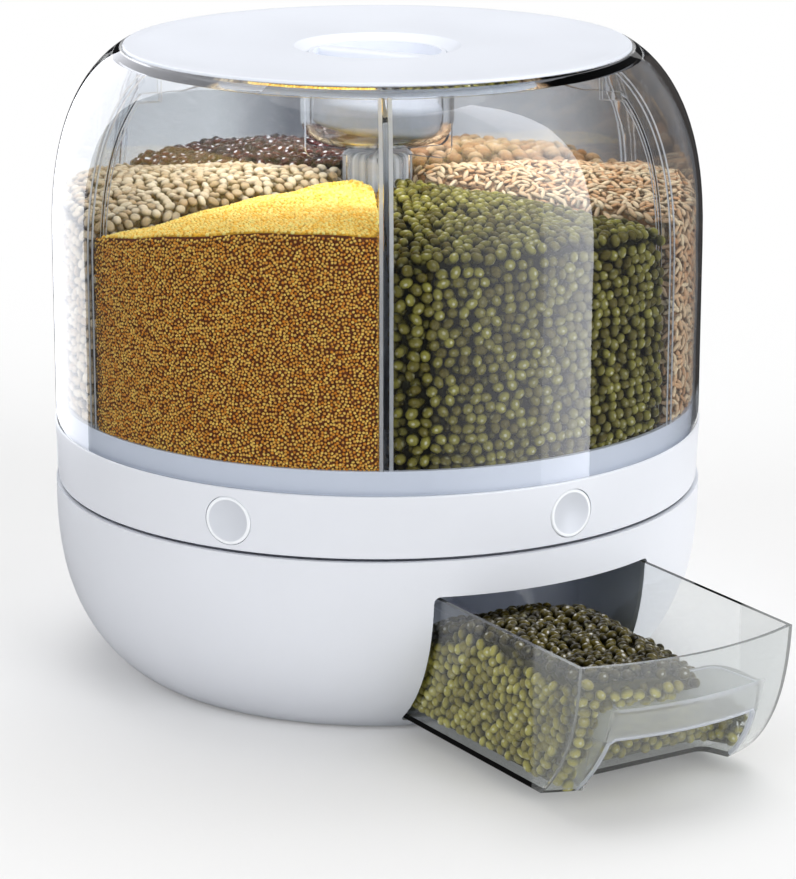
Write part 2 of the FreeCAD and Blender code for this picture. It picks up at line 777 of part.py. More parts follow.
def make_lid_knob():
    outer = rod(knob_radius, 0, 0, knob_low, knob_top)
    outer = outer.makeFillet(0.8, [e for e in outer.Edges if e.BoundBox.ZMin > knob_top - 0.01])
    well = rod(knob_radius - knob_wall, 0, 0, knob_low + knob_floor, knob_top + 1)
    well = well.makeFillet(2.0, [e for e in well.Edges if e.BoundBox.ZMax < knob_low + knob_floor + 0.01])
    half = 0.5 * knob_bar_width
    reach = knob_radius - 0.5 * knob_wall
    bar = block(-reach, reach, -half, half, knob_low + 1, knob_top)
    along = [e for e in bar.Edges if e.BoundBox.XLength > reach and e.BoundBox.ZMin > knob_top - 0.01]
    bar = bar.makeFillet(knob_bar_round, along)
    return turned(outer.cut(well).fuse(bar).removeSplitter(), knob_bar_angle)


# Desiccant cup: clear, round-bottomed, held in the lid's socket, with the pack in it
def make_desiccant_cup():
    cup = rod(cup_radius, 0, 0, cup_foot_z, cup_top_z)
    cup = cup.makeFillet(cup_round, [e for e in cup.Edges if e.BoundBox.ZMax < cup_foot_z + 0.01])
    inside = rod(cup_radius - cup_wall, 0, 0, cup_foot_z + cup_wall, cup_top_z + 1)
    low_edge = [e for e in inside.Edges if e.BoundBox.ZMax < cup_foot_z + cup_wall + 0.01]
    return cup.cut(inside.makeFillet(cup_round - cup_wall, low_edge))


def make_desiccant_pack():
    pack = rod(pack_radius, 0, 0, -0.5 * pack_height, 0.5 * pack_height)
    pack = pack.makeFillet(pack_round, [e for e in pack.Edges if is_level(e)])
    pack.rotate(V(0, 0, 0), V(pack_tilt_axis[0], pack_tilt_axis[1], 0), pack_tilt)
    pack.translate(V(0, 0, cup_foot_z + cup_wall + pack_rest))
    return pack


# Drawer: clear box whose front follows the bowl, with the finger pocket moulded inwards
def make_grain_drawer():
    outside = bowl_solid(0, drawer_floor_z, drawer_rim_z)
    inside_low = drawer_floor_z + drawer_wall
    inside = bowl_solid(drawer_wall, drawer_floor_z - 2.0, drawer_rim_z + 2.0)
    box = block(-drawer_half_width, drawer_half_width, -body_radius, drawer_back_y,
                drawer_floor_z, drawer_rim_z).common(outside)
    hollow = block(-drawer_half_width + drawer_wall, drawer_half_width - drawer_wall, -body_radius,
                   drawer_back_y - drawer_wall, inside_low, drawer_rim_z + 2.0).common(inside)
    pocket = pocket_solid(0.0)
    liner = pocket_solid(drawer_wall).common(box)
    below_bar = block(-body_radius, body_radius, -2 * body_radius, 0, -overcut, pocket_bar_z)
    drawer = box.cut(hollow).fuse(liner)
    drawer = drawer.cut(pocket.common(inside))
    drawer = drawer.cut(pocket.common(below_bar)).removeSplitter()
    drawer.translate(V(0, -drawer_out, 0))
    return drawer


def pocket_solid(grow):
    low = pocket_outline(pocket_back_low - grow, pocket_back_half + grow, pocket_mouth_low_half + grow, -overcut)
    high = pocket_outline(pocket_back_high - grow, pocket_back_half + grow, pocket_mouth_high_half + grow,
                          pocket_roof_z + grow)
    shape = sound(Part.makeLoft([low, high], True, True))
    corners = [e for e in shape.Edges if not is_level(e) and e.BoundBox.YMin > -pocket_back_high - grow - 1.0]
    return shape.makeFillet(pocket_round + grow, corners)


def pocket_outline(back, back_half, mouth_half, z):
    far = body_radius + overcut
    corners = [V(-back_half, -back, z), V(-mouth_half, -pocket_flare_y, z), V(-mouth_half, -far, z),
               V(mouth_half, -far, z), V(mouth_half, -pocket_flare_y, z), V(back_half, -back, z)]
    return Part.makePolygon(corners + corners[:1])


# Write one file per piece
def build():
    nodes = {
        "base_bowl": make_base_bowl(),
        "base_plate": make_base_plate(),
        "foot_ring": make_foot_ring(),
        "base_screws": make_base_screws(),
        "drawer_bay": make_drawer_bay(),
        "turntable_deck": make_turntable_deck(),
        "discharge_chute": make_discharge_chute(),
        "glide_ring": make_glide_ring(),
        "hub_washer": make_hub_washer(),
        "hub_screw": make_hub_screw(),
        "button_ring": make_button_ring(),
        "bin_floor": make_bin_floor(),
        "ring_screws": make_ring_screws(),
        "grain_barrel": make_grain_barrel(),
        "centre_column": make_centre_column(),
        "lid": make_lid(),
        "lid_gasket": make_lid_gasket(),
        "lid_knob": make_lid_knob(),
        "desiccant_cup": make_desiccant_cup(),
        "desiccant_pack": make_desiccant_pack(),
        "grain_drawer": make_grain_drawer(),
    }
    divider = turned(make_divider(), -90.0)
    button = make_button()
    gate = make_gate()
    for i in range(compartments):
        nodes["divider_%d" % (i + 1)] = turned(divider, step_angle * (i + 0.5))
        nodes["button_%d" % (i + 1)] = turned(button, button_offset_angle + step_angle * i)
        nodes["gate_%d" % (i + 1)] = turned(gate, button_offset_angle + step_angle * i)
    return nodes


os.makedirs("parts", exist_ok=True)
for name, shape in build().items():
    shape.exportStep("parts/%s.step" % name)
    box = shape.BoundBox
    print("%-16s %2d solids, %4d faces, valid %s, %9.0f mm3, z %6.1f to %6.1f" %
          (name, len(shape.Solids), len(shape.Faces), shape.isValid(), shape.Volume, box.ZMin, box.ZMax))
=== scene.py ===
# %% [markdown]
# # Rotating grain dispenser
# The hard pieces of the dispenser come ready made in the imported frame: bowl, drawer, drum, lid
# and everything inside. This lesson gives them their finishes, fills the six compartments and
# the drawer with grain, and sets up the studio. Lengths below are written in millimetres and
# turned to metres by one factor, because Blender and the frame both work in metres.

# %% Load the frame
import math

import bpy
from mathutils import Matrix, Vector, noise


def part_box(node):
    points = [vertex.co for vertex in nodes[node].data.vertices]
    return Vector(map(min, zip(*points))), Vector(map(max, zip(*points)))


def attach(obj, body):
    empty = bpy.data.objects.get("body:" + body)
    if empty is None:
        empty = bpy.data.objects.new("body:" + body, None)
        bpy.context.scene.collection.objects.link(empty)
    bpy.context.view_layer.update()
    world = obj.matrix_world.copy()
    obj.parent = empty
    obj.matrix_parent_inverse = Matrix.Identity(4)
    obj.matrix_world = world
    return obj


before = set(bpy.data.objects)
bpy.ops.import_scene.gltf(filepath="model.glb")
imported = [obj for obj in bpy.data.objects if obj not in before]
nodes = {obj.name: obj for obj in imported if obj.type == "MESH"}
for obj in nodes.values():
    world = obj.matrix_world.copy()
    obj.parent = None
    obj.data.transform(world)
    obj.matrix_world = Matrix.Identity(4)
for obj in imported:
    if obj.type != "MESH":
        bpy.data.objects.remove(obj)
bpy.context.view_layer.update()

mm = 0.001

# %% [markdown]
# ## Small tools
# A place on a round object is easiest to write as a radius, an angle and a height. Angles here
# start at the front, where the drawer comes out, and grow towards the right. Colours are picked
# as sRGB hex values, which Blender wants as linear numbers, so one function turns them.

# %% Places and colours
def place(radius, angle, height):
    turn = math.radians(angle)
    return Vector((radius * math.sin(turn), -radius * math.cos(turn), height))


def smooth_step(low, high, value):
    share = min(max((value - low) / (high - low), 0.0), 1.0)
    return share * share * (3.0 - 2.0 * share)


def between(points, value):
    for (a, at_a), (b, at_b) in zip(points, points[1:]):
        if value <= b:
            return at_a + (at_b - at_a) * max(value - a, 0.0) / (b - a)
    return points[-1][1]


def linear(hex_colour, share=1.0):
    parts = [int(hex_colour[i:i + 2], 16) / 255 for i in (1, 3, 5)]
    parts = [p / 12.92 if p <= 0.04045 else ((p + 0.055) / 1.055) ** 2.4 for p in parts]
    return tuple(p * share for p in parts) + (1.0,)


def only(*objects):
    bpy.ops.object.select_all(action="DESELECT")
    for thing in objects:
        thing.select_set(True)
    bpy.context.view_layer.objects.active = objects[0]


print("a place at 100 mm, 90 degrees:", [round(v) for v in place(100, 90, 0)])

# %% [markdown]
# ## Nodes
# One function adds a shader or geometry node with its settings and links. The ones after it add
# the few nodes that nearly every material here needs: a noise of a given size, a bump, a ramp
# from one value to another, and mixes of colours and shaders. That keeps each material short.

# %% Nodes
def add(tree, kind, settings=None, inputs=None):
    made = tree.nodes.new(kind)
    for key, value in (settings or {}).items():
        setattr(made, key, value)
    for key, value in (inputs or {}).items():
        if isinstance(value, bpy.types.NodeSocket):
            tree.links.new(value, made.inputs[key])
        else:
            made.inputs[key].default_value = value
    return made


def new_material(name):
    made = bpy.data.materials.new(name)
    made.use_nodes = True
    made.node_tree.nodes.clear()
    return made, made.node_tree


def finish_material(tree, shader):
    add(tree, "ShaderNodeOutputMaterial", {}, {"Surface": shader})


def position(tree):
    return add(tree, "ShaderNodeTexCoord").outputs["Object"]


def position_parts(tree):
    return add(tree, "ShaderNodeSeparateXYZ", {}, {0: position(tree)}).outputs


def compute(tree, operation, value, other=0.0, clamp=False):
    made = add(tree, "ShaderNodeMath", {"operation": operation, "use_clamp": clamp},
               {0: value, 1: other})
    return made.outputs[0]


def product(tree, *values):
    made = values[0]
    for value in values[1:]:
        made = compute(tree, "MULTIPLY", made, value)
    return made


def ramp(tree, value, low, high, at_low=0.0, at_high=1.0, kind="SMOOTHSTEP"):
    made = add(tree, "ShaderNodeMapRange", {"interpolation_type": kind},
               {"Value": value, "From Min": low, "From Max": high, "To Min": at_low, "To Max": at_high})
    return made.outputs[0]


def spread(tree, value, at_zero, at_one):
    return ramp(tree, value, 0.0, 1.0, at_zero, at_one, "LINEAR")


def blend(tree, share, first, second):
    made = add(tree, "ShaderNodeMix", {"data_type": "RGBA"},
               {"Factor": share, "A": first, "B": second})
    return made.outputs["Result"]


def noise_of(tree, size, detail=2.0):
    made = add(tree, "ShaderNodeTexNoise", {},
               {"Vector": position(tree), "Scale": 1 / size, "Detail": detail})
    return made.outputs[0]


def bumps(tree, height, strength, depth):
    made = add(tree, "ShaderNodeBump", {}, {"Strength": strength, "Distance": depth, "Height": height})
    return made.outputs[0]


def glow(tree, strength, colour=(1, 1, 1, 1)):
    return add(tree, "ShaderNodeEmission", {}, {"Color": colour, "Strength": strength}).outputs[0]


def mix_shaders(tree, share, first, second):
    return add(tree, "ShaderNodeMixShader", {}, {0: share, 1: first, 2: second}).outputs[0]


def stored(tree, name):
    return add(tree, "ShaderNodeAttribute", {"attribute_name": name}).outputs["Fac"]


def length_of(tree, x, y):
    flat = add(tree, "ShaderNodeCombineXYZ", {}, {"X": x, "Y": y}).outputs[0]
    made = add(tree, "ShaderNodeVectorMath", {"operation": "LENGTH"}, {0: flat})
    return made.outputs["Value"], flat


# the drum has six upright planes through its axis for the dividers, and six between them; the
# distance of a point to the nearest one is its radius times the sine of the angle to the plane
def plane_distance(tree, parts, at_divider, phase=0.0):
    half = math.radians(30)
    around = compute(tree, "ARCTAN2", parts["X"], parts["Y"])
    around = compute(tree, "ADD", around, math.radians(phase))
    turned = compute(tree, "PINGPONG", around, half)
    if at_divider:
        turned = compute(tree, "SUBTRACT", half, turned)
    radius, flat = length_of(tree, parts["X"], parts["Y"])
    return product(tree, compute(tree, "SINE", turned), radius), flat


print("red in linear numbers:", linear("#FF0000"))

# %% [markdown]
# ## Camera
# The photograph looks down at the dispenser by 15 degrees, from its left front corner, so that
# the open drawer points to the lower right. The lens is a long one, because the drum's two
# sides show hardly any perspective. A small shift puts the object where the photograph has it.

# %% Camera
camera_turn = 31.5
camera_tilt = 15.0
camera_place = (-877.8, -1432.4, 568.4)

bpy.ops.object.camera_add(location=[v * mm for v in camera_place],
                          rotation=(math.radians(90 - camera_tilt), 0, math.radians(-camera_turn)))
camera = bpy.context.object
camera.data.lens = 142.77
camera.data.sensor_width = 36.0
camera.data.shift_x = 0.02355
camera.data.shift_y = -0.02306
bpy.context.scene.camera = camera
print("camera", [round(v / mm) for v in camera.location])

# %% [markdown]
# ## Floor
# The floor is one large plane. Near the object it is a real matt surface, so it catches the
# soft grey shadow, and a little light of its own lifts the unshaded part to plain white.
# Further out it fades to plain white. Rays through clear plastic see the same
# white, diffuse rays see the matt surface only, so that the floor never lights the object more
# than a real one would. In gloss the floor glows instead, a painted reflection: dark at the
# left, in place of a black cloth that keeps haze off the drawer's side, and bright at the
# right, which paints the pale sheen on the drawer's front.

# %% Floor
floor_size = 30.0            # metres, out to where the camera sees no end of it
floor_lift = 0.11
floor_fade = (420.0, 950.0)
floor_gloss = (0.05, 0.9)
floor_gloss_half = 60.0


def make_floor():
    bpy.ops.mesh.primitive_plane_add(size=floor_size, location=(0, 0, 0))
    floor = bpy.context.object
    floor.name = "floor"
    material, tree = new_material("matt_white_table")
    ray = add(tree, "ShaderNodeLightPath").outputs
    seen = compute(tree, "MAXIMUM", ray["Is Camera Ray"], ray["Is Transmission Ray"])
    matt = add(tree, "ShaderNodeBsdfDiffuse", {}, {"Color": linear("#DFDFDF")}).outputs[0]
    lifted = add(tree, "ShaderNodeAddShader", {}, {0: matt, 1: glow(tree, floor_lift)}).outputs[0]
    far = add(tree, "ShaderNodeVectorMath", {"operation": "LENGTH"}, {0: position(tree)})
    fade = ramp(tree, far.outputs["Value"], floor_fade[0] * mm, floor_fade[1] * mm)
    plain = mix_shaders(tree, fade, lifted, glow(tree, 1.0))
    both = mix_shaders(tree, seen, matt, plain)
    half = floor_gloss_half * mm
    # painted reflection: for gloss the floor glows dark at the left and bright at the right
    shine = ramp(tree, position_parts(tree)["X"], -half, half, *floor_gloss)
    unseen = compute(tree, "SUBTRACT", ray["Is Glossy Ray"], seen, clamp=True)
    finish_material(tree, mix_shaders(tree, unseen, both, glow(tree, shine)))
    floor.data.materials.append(material)
    return floor


floor = make_floor()
print("floor", floor.name)

# %% [markdown]
# ## Light
# A product studio has a big soft light and white walls. The walls are the world: plain white
# for the camera and for what is seen through clear plastic, and half as bright in gloss and
# for the light it gives. The key is a very wide sun above the right rear corner, which pushes
# the shadow gently to the left front. A low fill from the camera's side lights the upright
# walls and gives each kernel its form, with weaker ones from the left and the right. The lid
# would leave the grain below it in the dark, and the drawer bay too, so one small soft lamp
# hangs in the dome and one in the bay. No lamp shows in the gloss, because the shapes that do
# show there are cards, made further down.

# %% World and lamps
world_light = 0.50
dome_light = 3.4
dome_lamp_size = 220.0
dome_lamp_height = 292.0
bay_light = 2.4
bay_lamp_size = (90.0, 12.0)
bay_lamp_place = (0.0, -70.0, 72.0)
bay_lamp_tilt = 62.0


def beside_camera(turn, tilt):
    return place(1.0, turn - camera_turn, math.tan(math.radians(tilt)))


# each sun: the direction that it stands in, its light and how wide it is in degrees
suns = {
    "key": ((0.29, 0.33, 1.0), 0.48, 50),
    "fill": (beside_camera(40, 22), 0.37, 30),
    "left": (beside_camera(-52, 20), 0.25, 30),
    "right": (beside_camera(92, 4), 0.31, 30),
}


def make_world():
    world = bpy.data.worlds.new("studio")
    bpy.context.scene.world = world
    world.use_nodes = True
    tree = world.node_tree
    tree.nodes.clear()
    ray = add(tree, "ShaderNodeLightPath").outputs
    seen = compute(tree, "MAXIMUM", ray["Is Camera Ray"], ray["Is Transmission Ray"])
    light = add(tree, "ShaderNodeBackground", {},
                {"Color": (1, 1, 1, 1), "Strength": spread(tree, seen, world_light, 1.0)})
    add(tree, "ShaderNodeOutputWorld", {}, {"Surface": light.outputs[0]})


def hide_from_gloss(lamp):
    lamp.visible_glossy = False
    lamp.visible_transmission = False


def make_sun(toward, strength, wide):
    bpy.ops.object.light_add(type="SUN", location=(0.6, 0.5, 1.2))
    sun = bpy.context.object
    sun.rotation_euler = Vector(toward).to_track_quat("Z", "Y").to_euler()
    sun.data.energy = strength * math.pi
    sun.data.angle = math.radians(wide)
    hide_from_gloss(sun)


def make_dome_lamp():
    bpy.ops.object.light_add(type="AREA", location=(0, 0, dome_lamp_height * mm))
    lamp = bpy.context.object
    lamp.data.shape = "DISK"
    lamp.data.size = dome_lamp_size * mm
    face = math.pi * (0.5 * dome_lamp_size * mm) ** 2
    lamp.data.energy = dome_light * math.pi * face
    hide_from_gloss(lamp)


def make_bay_lamp():
    bpy.ops.object.light_add(type="AREA", location=[v * mm for v in bay_lamp_place],
                             rotation=(math.radians(bay_lamp_tilt), 0, 0))
    lamp = bpy.context.object
    lamp.data.shape = "RECTANGLE"
    lamp.data.size, lamp.data.size_y = [v * mm for v in bay_lamp_size]
    lamp.data.energy = bay_light * math.pi * lamp.data.size * lamp.data.size_y
    hide_from_gloss(lamp)


make_world()
for facts in suns.values():
    make_sun(*facts)
make_dome_lamp()
make_bay_lamp()
print("world", world_light, "dome", dome_light, "bay", bay_light, "suns", list(suns))

# %% [markdown]
# ## Cards
# What makes clear plastic look clear is what it mirrors. Photographers stand black and white
# cards round the object: black ones in front, so that no haze covers the grain, one tall white
# one at the right, whose image is the pale band over the mung beans, and black ones at both
# sides, which draw the dark outline of the dome. Here each card is a slice of an upright tube
# that only gloss and clear plastic can see. A grey backdrop behind the dome, seen through it
# alone, gives the empty top of the drum its grey, darker towards the right.

# %% Cards
card_distance = 520.0
card_cuts = 40
# each card: start and end angle from the camera's side, its light in gloss at both ends,
# its light through clear plastic, and its height in mm
cards = {
    "front_black": (-108, 15.5, (0.015, 0.015), 0.12, 1400),
    "right_soft": (15.5, 50, (0.05, 2.6), 0.3, 1400),
    "right_bright": (50, 68, (3.6, 6.0), 0.5, 1400),
    "right_black": (68, 146, (0.02, 0.04), 0.22, 1400),
    "right_edge": (146, 178, (0.04, 0.02), 1.0, 380),
    "left_bright": (-150, -108, (2.6, 3.0), 1.0, 1400),
    "left_edge": (-178, -150, (0.02, 0.02), 1.0, 380),
}
backdrop_distance = 330.0
backdrop_cuts = 30
backdrop_angles = (230.0, 130.0)
backdrop_heights = (70.0, 330.0)
backdrop_stops = [
    (0.0, "#FFFFFF"), (0.33, "#FFFFFF"), (0.41, "#8E8F95"), (0.52, "#A8A8AC"),
    (0.6, "#E4E4E6"), (0.68, "#D8D6D6"), (0.77, "#6E6864"), (1.0, "#443E3A"),
]


def curved_sheet(name, cuts, distance, angles, heights, material):
    bpy.ops.object.select_all(action="DESELECT")
    bpy.ops.mesh.primitive_plane_add(size=1.0, location=(0, 0, 0))
    sheet = bpy.context.object
    sheet.name = name
    bpy.ops.object.mode_set(mode="EDIT")
    bpy.ops.mesh.subdivide(number_cuts=cuts)
    bpy.ops.object.mode_set(mode="OBJECT")
    side = sheet.data.attributes.new("side", "FLOAT", "POINT")
    for i, vertex in enumerate(sheet.data.vertices):
        along, up = vertex.co.x + 0.5, vertex.co.y + 0.5
        side.data[i].value = along
        angle = angles[0] + along * (angles[1] - angles[0]) - camera_turn
        height = heights[0] + up * (heights[1] - heights[0])
        vertex.co = place(distance * mm, angle, height * mm)
    sheet.data.materials.append(material)
    sheet.visible_camera = False
    sheet.visible_diffuse = False
    sheet.visible_shadow = False
    return sheet


def make_card(name, start, end, in_gloss, through, height):
    material, tree = new_material(name)
    ray = add(tree, "ShaderNodeLightPath").outputs
    gloss = spread(tree, stored(tree, "side"), *in_gloss)
    light = spread(tree, ray["Is Transmission Ray"], gloss, through)
    finish_material(tree, glow(tree, light, linear("#F6F8FF")))
    curved_sheet(name, card_cuts, card_distance, (start, end), (0.0, height), material)


def make_backdrop():
    material, tree = new_material("grey_backdrop")
    colours = add(tree, "ShaderNodeValToRGB", {}, {0: stored(tree, "side")})
    while len(colours.color_ramp.elements) < len(backdrop_stops):
        colours.color_ramp.elements.new(0.5)
    for element, (spot, colour) in zip(colours.color_ramp.elements, backdrop_stops):
        element.position = spot
        element.color = linear(colour)
    finish_material(tree, glow(tree, 1.0, colours.outputs[0]))
    drop = curved_sheet("dome_backdrop", backdrop_cuts, backdrop_distance, backdrop_angles,
                        backdrop_heights, material)
    drop.visible_glossy = False


for name, facts in cards.items():
    make_card(name, *facts)
make_backdrop()
print("cards", list(cards))

# %% [markdown]
# ## White ABS
# The bowl, the ring and the lid are ABS, moulded in a satin tool. Such a surface is never quite
# even: it has a fine pebble that breaks up the gloss, and its reflection wanders a little. The
# pebble is about 0.3 mm across, drawn twice as coarse here so that it still shows. The buttons
# are painted a shade darker than the bowl, a painted shade for their hollow dishes, and a
# button's rim is painted paler than its dish, a painted highlight along its edge. The lid and
# its knob are painted a shade lighter than the bowl, painted light on the top.

# %% White ABS
pebble_size = 0.6
pebble_depth = 0.02
patch_size = 35.0
button_angle = 2.9           # the buttons stand a little beside the middle of their compartments
rim_start = 1.9
rim_full = 1.2


def make_abs(name, colour, roughness, paint=None):
    material, tree = new_material(name)
    wide = noise_of(tree, patch_size * mm, 3.0)
    tint = blend(tree, wide, linear(colour, 0.965), linear(colour))
    if paint:
        tint = paint(tree, tint)
    skin = add(tree, "ShaderNodeBsdfPrincipled", {},
               {"Base Color": tint, "IOR": 1.54,
                "Roughness": spread(tree, wide, roughness - 0.05, roughness + 0.05),
                "Normal": bumps(tree, noise_of(tree, pebble_size * mm), 0.15, pebble_depth * mm)})
    finish_material(tree, skin.outputs[0])
    return material


# painted highlight: a pale ring painted round the edge of each button's dish
def paint_rim_highlight(tree, tint):
    low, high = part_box("button_1")
    edge = 0.5 * (high.z - low.z)
    parts = position_parts(tree)
    aside, _ = plane_distance(tree, parts, False, button_angle)
    above = compute(tree, "SUBTRACT", parts["Z"], 0.5 * (low.z + high.z))
    out, _ = length_of(tree, aside, above)
    rim = ramp(tree, out, edge - rim_start * mm, edge - rim_full * mm)
    return blend(tree, rim, tint, linear("#F6F9FD"))


white_abs = make_abs("white_abs_satin", "#E5E8EF", 0.36)
# the buttons' white is painted a shade darker than the bowl's, a painted shade for their dishes
button_abs_shaded = make_abs("button_abs_satin", "#D3D7DF", 0.34, paint_rim_highlight)
inner_abs = make_abs("inner_abs_matt", "#D9DDE8", 0.5)
# the lid's white is painted a shade lighter than the bowl's, painted light on the top
lid_abs_lit = make_abs("lid_abs_lit_satin", "#EBEFF8", 0.36)
slide_pom = make_abs("slide_acetal", "#ECECE8", 0.4)
print("white plastics", white_abs.name, button_abs_shaded.name, inner_abs.name, lid_abs_lit.name, slide_pom.name)

# %% [markdown]
# ## Clear styrene
# The drum, the dividers, the cup and the drawer are clear polystyrene, polished in the mould.
# It bends light more than acrylic does, and its cut edges look dark. Cycles would lose most of the
# light behind such a wall, so the rays that carry light in, to lamps and from matt surfaces,
# pass straight through with a faint tint, and only the rays that are seen are bent.
# Some places of such a moulding are not polished: the lips of a divider's fork, the column, and
# the front and grip of the drawer. There a share of the light is scattered, which makes them
# milky. On a divider that share also needs a face that looks outward, away from the axis.

# %% Clear styrene
ripple_size = 28.0
ripple_depth = 0.25
panel_thick_half = 1.4       # a divider's lips start this far from its middle plane
lip_milk = 0.62
front_start = 226.0          # the drawer's front is all that lies further out than this
front_half = 60.0
front_milk = 0.14
grip_heights = (36.5, 53.0)
grip_half = 41.5
grip_milk = 0.24


def clear_tree(name, tint, roughness=0.02):
    material, tree = new_material(name)
    ripple = noise_of(tree, ripple_size * mm, 1.0)
    glass = add(tree, "ShaderNodeBsdfPrincipled", {},
                {"Base Color": linear(tint), "Roughness": roughness, "IOR": 1.53,
                 "Transmission Weight": 1.0, "Normal": bumps(tree, ripple, 0.12, ripple_depth * mm)})
    through = add(tree, "ShaderNodeBsdfTransparent", {}, {"Color": linear(tint)})
    ray = add(tree, "ShaderNodeLightPath").outputs
    light = compute(tree, "MAXIMUM", ray["Is Shadow Ray"], ray["Is Diffuse Ray"])
    return material, tree, mix_shaders(tree, light, glass.outputs[0], through.outputs[0])


def finish_clear(material, tree, clear, share, colour="#F2F4F8"):
    milk = add(tree, "ShaderNodeBsdfDiffuse", {}, {"Color": linear(colour)}).outputs[0]
    shine = add(tree, "ShaderNodeBsdfTranslucent", {}, {"Color": linear(colour)}).outputs[0]
    milky = mix_shaders(tree, 0.5, milk, shine)
    finish_material(tree, mix_shaders(tree, share, clear, milky))
    return material


def make_clear(name, tint):
    material, tree, clear = clear_tree(name, tint)
    finish_material(tree, clear)
    return material


def make_clear_column():
    material, tree, clear = clear_tree("clear_styrene_column", "#F4F6F8", 0.12)
    parts = position_parts(tree)
    around = compute(tree, "ARCTAN2", parts["X"], parts["Y"])
    lines = add(tree, "ShaderNodeTexNoise", {"noise_dimensions": "1D"},
                {"W": around, "Scale": 5.0, "Detail": 2.0})
    share = ramp(tree, lines.outputs[0], 0.35, 0.7, 0.15, 0.7, "LINEAR")
    return finish_clear(material, tree, clear, share)


def make_clear_divider():
    material, tree, clear = clear_tree("clear_styrene_divider", "#F4F6F8")
    off_plane, flat = plane_distance(tree, position_parts(tree), True)
    lips = compute(tree, "GREATER_THAN", off_plane, panel_thick_half * mm)
    outward = add(tree, "ShaderNodeVectorMath", {"operation": "NORMALIZE"}, {0: flat})
    facing = add(tree, "ShaderNodeTexCoord").outputs["Normal"]
    crossed = add(tree, "ShaderNodeVectorMath", {"operation": "CROSS_PRODUCT"},
                  {0: facing, 1: outward.outputs[0]})
    turned = add(tree, "ShaderNodeSeparateXYZ", {}, {0: crossed.outputs[0]})
    sideways = compute(tree, "ABSOLUTE", turned.outputs["Z"])
    outer = compute(tree, "LESS_THAN", sideways, 0.6)
    return finish_clear(material, tree, clear, product(tree, lips, outer, lip_milk))


def make_clear_drawer():
    material, tree, clear = clear_tree("clear_styrene_drawer", "#F6F8F8")
    parts = position_parts(tree)
    front = compute(tree, "LESS_THAN", parts["Y"], -front_start * mm)
    low = compute(tree, "GREATER_THAN", parts["Z"], grip_heights[0] * mm)
    high = compute(tree, "LESS_THAN", parts["Z"], grip_heights[1] * mm)
    aside = compute(tree, "ABSOLUTE", parts["X"])
    middle = compute(tree, "LESS_THAN", aside, grip_half * mm)
    inside = compute(tree, "LESS_THAN", aside, front_half * mm)
    grip = product(tree, front, low, high, middle, grip_milk)
    face = product(tree, front, inside, front_milk)
    return finish_clear(material, tree, clear, compute(tree, "ADD", grip, face), "#E6E8E8")


def make_clear_edge():
    material, tree, clear = clear_tree("clear_styrene_edge", "#F4F6F8", 0.1)
    return finish_clear(material, tree, clear, 0.6, "#EEF0F8")


clear_wall = make_clear("clear_styrene_wall", "#F6F8FA")
clear_column = make_clear_column()
clear_divider = make_clear_divider()
clear_drawer = make_clear_drawer()
clear_edge = make_clear_edge()
print("clear plastics", clear_wall.name, clear_divider.name, clear_drawer.name)

# %% [markdown]
# ## Rubber, steel and fabric
# The gasket and the foot ring are grey rubber, dull with a fine grain. The screws are zinc
# plated steel, which no one sees unless the bowl is taken off. The desiccant pack under the
# knob is a non-woven fabric, whose bonded spots make small cells.

# %% Rubber, steel and fabric
rubber_grain = 0.5
tool_mark = 0.8
fabric_cell = 1.2


def make_rubber():
    material, tree = new_material("grey_rubber")
    grain = noise_of(tree, rubber_grain * mm, 3.0)
    skin = add(tree, "ShaderNodeBsdfPrincipled", {},
               {"Base Color": blend(tree, grain, linear("#55524F"), linear("#6B6763")),
                "Roughness": 0.75, "Normal": bumps(tree, grain, 0.3, 0.05 * mm)})
    finish_material(tree, skin.outputs[0])
    return material


def make_steel():
    material, tree = new_material("zinc_plated_steel")
    rough = spread(tree, noise_of(tree, tool_mark * mm), 0.22, 0.4)
    skin = add(tree, "ShaderNodeBsdfPrincipled", {},
               {"Base Color": linear("#B9BCC0"), "Metallic": 1.0, "Roughness": rough})
    finish_material(tree, skin.outputs[0])
    return material


def make_fabric():
    material, tree = new_material("nonwoven_fabric")
    cells = add(tree, "ShaderNodeTexVoronoi", {"feature": "DISTANCE_TO_EDGE"},
                {"Vector": position(tree), "Scale": 1 / (fabric_cell * mm)}).outputs["Distance"]
    skin = add(tree, "ShaderNodeBsdfPrincipled", {},
               {"Base Color": blend(tree, cells, linear("#84868C"), linear("#A0A2A8")),
                "Roughness": 0.8, "Normal": bumps(tree, cells, 0.4, 0.1 * mm)})
    finish_material(tree, skin.outputs[0])
    return material


rubber = make_rubber()
steel = make_steel()
fabric = make_fabric()
print("other finishes", rubber.name, steel.name, fabric.name)

# %% [markdown]
# ## Dress the hard pieces
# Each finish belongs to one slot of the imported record, so a short list of names per finish is
# enough to dress every piece of the frame.

# %% Dress the hard pieces
finishes = {
    "white_plastic": (white_abs, ["base_bowl", "button_ring"]),
    "button_plastic": (button_abs_shaded, ["button_%d" % i for i in range(1, 7)]),
    "inner_plastic": (inner_abs, ["bin_floor", "drawer_bay", "turntable_deck", "base_plate",
                                  "discharge_chute"]),
    "clear_plastic": (clear_wall, ["grain_barrel", "desiccant_cup"]),
    "slide_plastic": (slide_pom, ["glide_ring"] + ["gate_%d" % i for i in range(1, 7)]),
    "grey_rubber": (rubber, ["lid_gasket", "foot_ring"]),
    "steel": (steel, ["base_screws", "ring_screws", "hub_screw", "hub_washer"]),
}


def dress(node_name, material):
    piece = nodes[node_name]
    piece.data.materials.clear()
    piece.data.materials.append(material)


for slot, (material, names) in finishes.items():
    for node_name in names:
        dress(node_name, material)
dress("grain_drawer", clear_drawer)
dress("centre_column", clear_column)
for i in range(1, 7):
    dress("divider_%d" % i, clear_divider)
dress("lid", lid_abs_lit)
dress("lid_knob", lid_abs_lit)
dress("desiccant_pack", fabric)
print("dressed", sum(1 for piece in nodes.values() if piece.data.materials), "of", len(nodes), "pieces")
